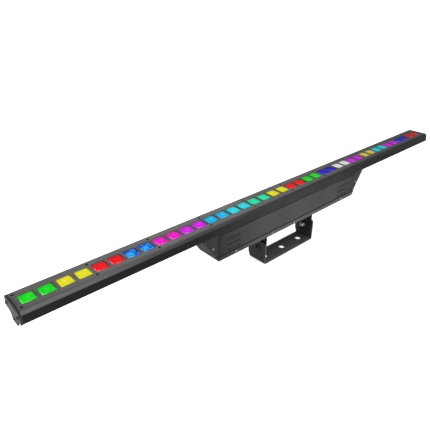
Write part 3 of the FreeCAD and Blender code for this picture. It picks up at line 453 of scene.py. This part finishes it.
FINISH = {
    "bar_profile": "extrusion", "bezel": "bezel", "bezel_screws": "black_screw",
    "end_plate_left": "end_plate", "end_plate_right": "end_plate", "end_screws": "black_screw",
    "end_gaskets": "end_plate", "cell_grid": "black_plastic", "led_boards": "board_white",
    "led_emitters": "emitter", "board_links": "nylon",
    "side_wall_front": "housing_wall", "side_wall_rear": "housing_wall",
    "side_cover_front": "housing", "side_cover_rear": "housing",
    "housing_end_left": "incline", "housing_end_right": "incline", "bottom_cover": "tray",
    "lip_screws": "bright_screw", "side_screws": "side_screw", "housing_screws": "bright_screw",
    "power_supply": "cage", "driver_board": "board_green", "control_board": "board_green",
    "display_module": "display", "display_window": "smoked",
    "power_inlet": "socket_blue", "power_outlet": "socket_grey", "data_inlet": "socket_black",
    "data_outlet": "socket_black", "data_pins": "brass", "socket_screws": "black_screw",
    "lug_left": "lug", "lug_right": "lug", "lug_screws": "black_screw", "floor_bracket": "bracket",
    "friction_washers": "rubber", "inner_washers": "dark_bolt", "outer_washers": "dark_bolt",
    "pivot_bolt_left": "dark_bolt", "pivot_bolt_right": "dark_bolt",
    "dome_nut_left": "zinc", "dome_nut_right": "zinc",
    "button_1": "button", "button_2": "button", "button_3": "button", "button_4": "button",
}
for light_name in LIGHT:
    FINISH["lens_" + light_name] = "tile_" + light_name

for node_name, finish in FINISH.items():
    mesh = nodes[node_name].data
    mesh.materials.clear()
    mesh.materials.append(MATERIALS[finish])

# folded and extruded parts get small real edge rounds
ROUNDED = {
    "bezel": 0.25, "end_plate_left": 0.4, "end_plate_right": 0.4, "side_cover_front": 0.3,
    "side_cover_rear": 0.3, "housing_end_left": 0.5, "housing_end_right": 0.5, "floor_bracket": 0.4,
    "lug_left": 0.4, "lug_right": 0.4,
}
for node_name, width in ROUNDED.items():
    obj = nodes[node_name]
    weld = obj.modifiers.new("weld", "WELD")
    weld.merge_threshold = 1e-5
    bevel = obj.modifiers.new("ease", "BEVEL")
    bevel.width = width * MM
    bevel.segments = 2
    bevel.limit_method = "ANGLE"
    bevel.angle_limit = math.radians(40)
    bevel.harden_normals = False
    bevel.use_clamp_overlap = True


# ---- lens tiles ----
def rounded_reach(angle):
    """Distance from a tile's middle to its rounded-square outline."""
    c, s = abs(math.cos(angle)), abs(math.sin(angle))
    reach = TILE_HALF / max(c, s)
    inner = TILE_HALF - TILE_CORNER
    if c * reach > inner and s * reach > inner:
        b = (c + s) * inner
        reach = b + math.sqrt(max(b * b - 2 * inner * inner + TILE_CORNER ** 2, 0.0))
    return reach


def tile_height(u, v, out):
    """Height over the lens face: a sloped rim, then a low pillow with a grid of small optics."""
    rim = min(max((out - 0.885) / 0.115, 0.0), 1.0)
    drop = -0.70 * MM * rim ** 1.2
    fade = min(max((0.885 - out) / 0.06, 0.0), 1.0)
    optics = (math.cos(u * math.pi * 3.5) * math.cos(v * math.pi * 3.5)) * 0.11 * MM
    return drop + fade * (0.10 * MM * (1 - u * u) * (1 - v * v) + optics)


def tiles(colour, steps=34):
    verts, faces = [], []
    for cell in range(CELLS):
        if PAIRS[cell // 2] != colour:
            continue
        x0 = (cell - (CELLS - 1) / 2) * PITCH
        first = len(verts)
        for j in range(steps + 1):
            for i in range(steps + 1):
                u, v = 2 * i / steps - 1, 2 * j / steps - 1
                out = max(abs(u), abs(v))
                angle = math.atan2(v, u)
                reach = rounded_reach(angle) * out
                z = LENS_TOP + tile_height(u, v, out)
                verts.append((x0 + reach * math.cos(angle), reach * math.sin(angle), z))
        row = steps + 1
        for j in range(steps):
            for i in range(steps):
                a = first + j * row + i
                faces.append((a, a + 1, a + row + 1, a + row))
        ring = ([first + i for i in range(steps)] + [first + steps + j * row for j in range(steps)]
                + [first + steps * row + steps - i for i in range(steps)]
                + [first + (steps - j) * row for j in range(steps)])
        skirt = len(verts)
        for k in ring:
            x, y, z = verts[k]
            verts.append((x, y, TOP - SKIRT_DEPTH))
        for k in range(len(ring)):
            n = (k + 1) % len(ring)
            faces.append((ring[n], ring[k], skirt + k, skirt + n))
        flange = len(verts)
        for k in ring:
            x, y = verts[k][0] - x0, verts[k][1]
            scale = FLANGE_HALF / max(abs(x), abs(y))
            verts.append((x0 + x * scale, y * scale, TOP - SKIRT_DEPTH))
        low = len(verts)
        for k in range(len(ring)):
            x, y, z = verts[flange + k]
            verts.append((x, y, TOP - FLANGE_DEPTH))
        for k in range(len(ring)):
            n = (k + 1) % len(ring)
            faces.append((skirt + n, skirt + k, flange + k, flange + n))
            faces.append((flange + n, flange + k, low + k, low + n))
        faces.append(tuple(low + k for k in reversed(range(len(ring)))))
    mesh = bpy.data.meshes.new("tiles_" + colour)
    mesh.from_pydata(verts, [], faces)
    mesh.validate()
    obj = bpy.data.objects.new("tiles_" + colour, mesh)
    bpy.context.scene.collection.objects.link(obj)
    mesh.materials.append(MATERIALS["tile_" + colour])
    for polygon in mesh.polygons:
        polygon.use_smooth = True
    mesh.set_sharp_from_angle(angle=math.radians(50))
    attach(obj, "head")
    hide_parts("lens_" + colour)


for light_name in LIGHT:
    tiles(light_name)


# ---- stage ----
FLOOR_HALF, FLOOR_Z = 40.0, -0.3 * MM
FLOOR_GLOW = 0.71                               # lifts the pale floor to white
WORLD_LIGHT = 0.46
KEY_POWER, SPARKLE_POWER, FRONT_POWER = 3.8, 1.3, 20.0


def studio_floor():
    floor = bpy.data.meshes.new("studio_floor")
    corners = [(x * FLOOR_HALF, y * FLOOR_HALF, FLOOR_Z) for x, y in ((-1, -1), (1, -1), (1, 1), (-1, 1))]
    floor.from_pydata(corners, [], [(0, 1, 2, 3)])
    obj = bpy.data.objects.new("studio_floor", floor)
    bpy.context.scene.collection.objects.link(obj)
    t = Tree("mat_floor")
    haze = t.noise(3.0, 3.0, 0.5)
    t.set(Base_Color=t.mix(haze, (0.88, 0.88, 0.88), (0.91, 0.91, 0.91)), Roughness=0.9,
          Specular_IOR_Level=0.1, Emission_Color=(1.0, 1.0, 1.0), Emission_Strength=FLOOR_GLOW)
    floor.materials.append(t.material)


def place_light(name, kind, place, aim, power, size):
    light = bpy.data.lights.new(name, kind)
    light.energy = power
    obj = bpy.data.objects.new(name, light)
    obj.location = place
    obj.rotation_euler = (Vector(aim) - Vector(place)).to_track_quat("-Z", "Y").to_euler()
    bpy.context.scene.collection.objects.link(obj)
    if kind == "AREA":
        light.size = size
    else:
        light.shadow_soft_size = size
    return light


studio_floor()
place_light("key", "AREA", (-0.28, -0.12, 1.05), (-0.15, 0.0, 0.13), KEY_POWER, 0.55)
place_light("sparkle", "AREA", (0.18, -0.10, 1.10), (-0.2, 0.0, 0.13), SPARKLE_POWER, 0.20)
spot = place_light("front_spot", "SPOT", (0.03, -0.95, 0.26), (0.03, 0.0, 0.09), FRONT_POWER, 0.08)
spot.spot_size = math.radians(40)
spot.spot_blend = 1.0

world = bpy.data.worlds.new("studio")
world.use_nodes = True
world.node_tree.nodes["Background"].inputs[0].default_value = (1.0, 1.0, 1.0, 1.0)
world.node_tree.nodes["Background"].inputs[1].default_value = WORLD_LIGHT
bpy.context.scene.world = world
bpy.context.scene.view_settings.view_transform = "Standard"

# ---- camera ----
CAMERA_PLACE = Vector((-0.5952, -0.4724, 0.4726))
CAMERA_AIM = Vector((-0.1142, 0.0694, 0.0850))
camera = bpy.data.objects.new("camera", bpy.data.cameras.new("camera"))
camera.data.lens = 37.37
camera.data.sensor_width = 36.0
camera.location = CAMERA_PLACE
camera.rotation_euler = (CAMERA_AIM - CAMERA_PLACE).to_track_quat("-Z", "Y").to_euler()
bpy.context.scene.collection.objects.link(camera)
bpy.context.scene.camera = camera
